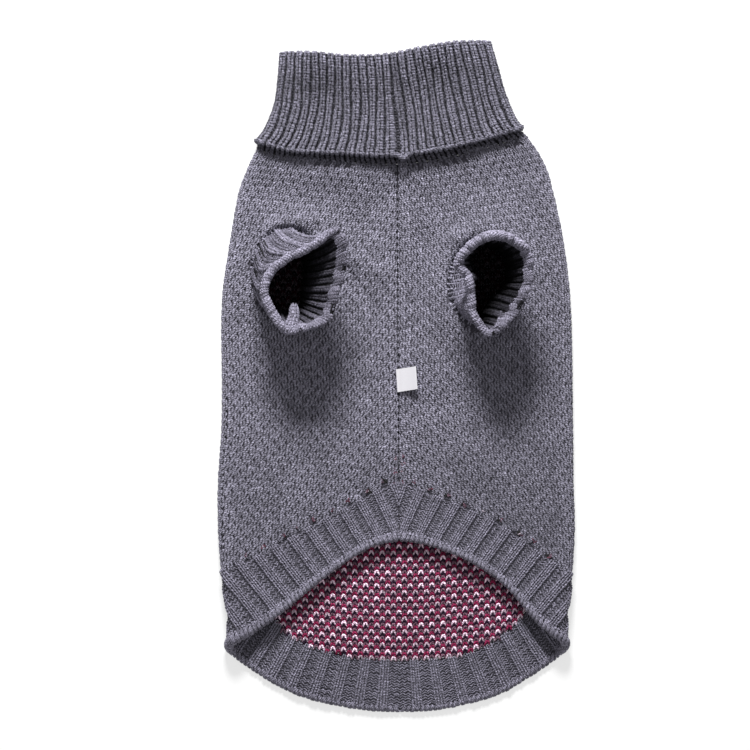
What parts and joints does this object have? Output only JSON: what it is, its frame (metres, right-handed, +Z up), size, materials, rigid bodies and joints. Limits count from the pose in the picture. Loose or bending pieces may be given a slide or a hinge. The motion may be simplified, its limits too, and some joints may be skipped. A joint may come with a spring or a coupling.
{
  "type": "dog sweater",
  "caption": "Knitted dog sweater laid flat, belly side up: ribbed turn-down collar, short ribbed leg cuffs, arched ribbed hem, coloured inside.",
  "frame": {"origin": "on the surface that the sweater lies on, under the middle of its outline", "axes": "+Y towards the collar, +X to the right of the belly seam seen from above, +Z up, away from the surface"},
  "size_m": [0.2136, 0.4008, 0.0441],
  "materials": {
    "grey_knit": "matt wool-like knit",
    "grey_rib": "matt rib knit",
    "colour_knit": "matt knit of red, white, navy and mauve yarns",
    "label_tape": "white woven tape with a slight sheen"
  },
  "bodies": {
    "root": {"back_panel": "colour_knit", "belly_left": "grey_knit", "belly_right": "grey_knit", "hem_back": "grey_rib", "hem_belly_left": "grey_rib", "hem_belly_right": "grey_rib", "collar": "grey_rib", "sleeve_left": "grey_rib", "sleeve_right": "grey_rib", "label": "label_tape"}
  },
  "joints": []
}
